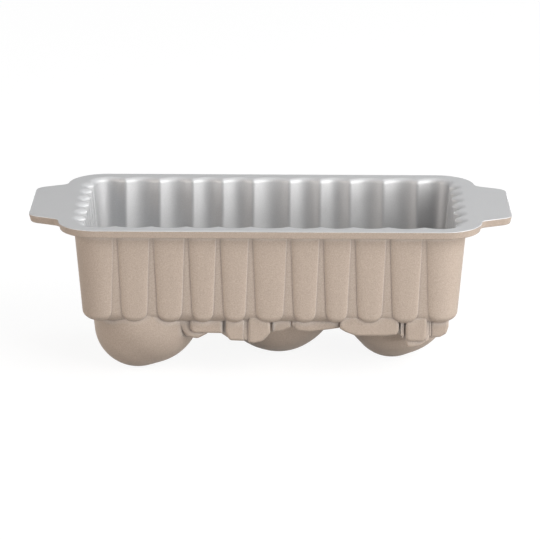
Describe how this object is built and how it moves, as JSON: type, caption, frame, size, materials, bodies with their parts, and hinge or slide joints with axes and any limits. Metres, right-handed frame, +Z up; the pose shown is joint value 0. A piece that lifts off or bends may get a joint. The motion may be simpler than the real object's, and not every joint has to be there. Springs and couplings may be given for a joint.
{
  "type": "decorative loaf pan",
  "caption": "Cast aluminium loaf pan with fluted walls, a flat rim with tab handles and a sculpted domed base, for baking a decorated loaf.",
  "frame": {"origin": "on the table, below the middle of the pan, which stands on its three domes", "axes": "+X along the pan's length, +Y from its front to its back, +Z up through its open mouth"},
  "size_m": [0.3, 0.137, 0.1],
  "materials": {
    "cast_aluminium": "as-cast aluminium, hidden between the two coats",
    "nonstick_silver": "satin silver-grey nonstick coat with a fine metallic grain",
    "champagne_coat": "satin champagne coat with a fine metallic grain"
  },
  "bodies": {
    "root": {"cast_body": "cast_aluminium", "interior_nonstick_coat": "nonstick_silver", "exterior_coat": "champagne_coat"}
  },
  "joints": []
}
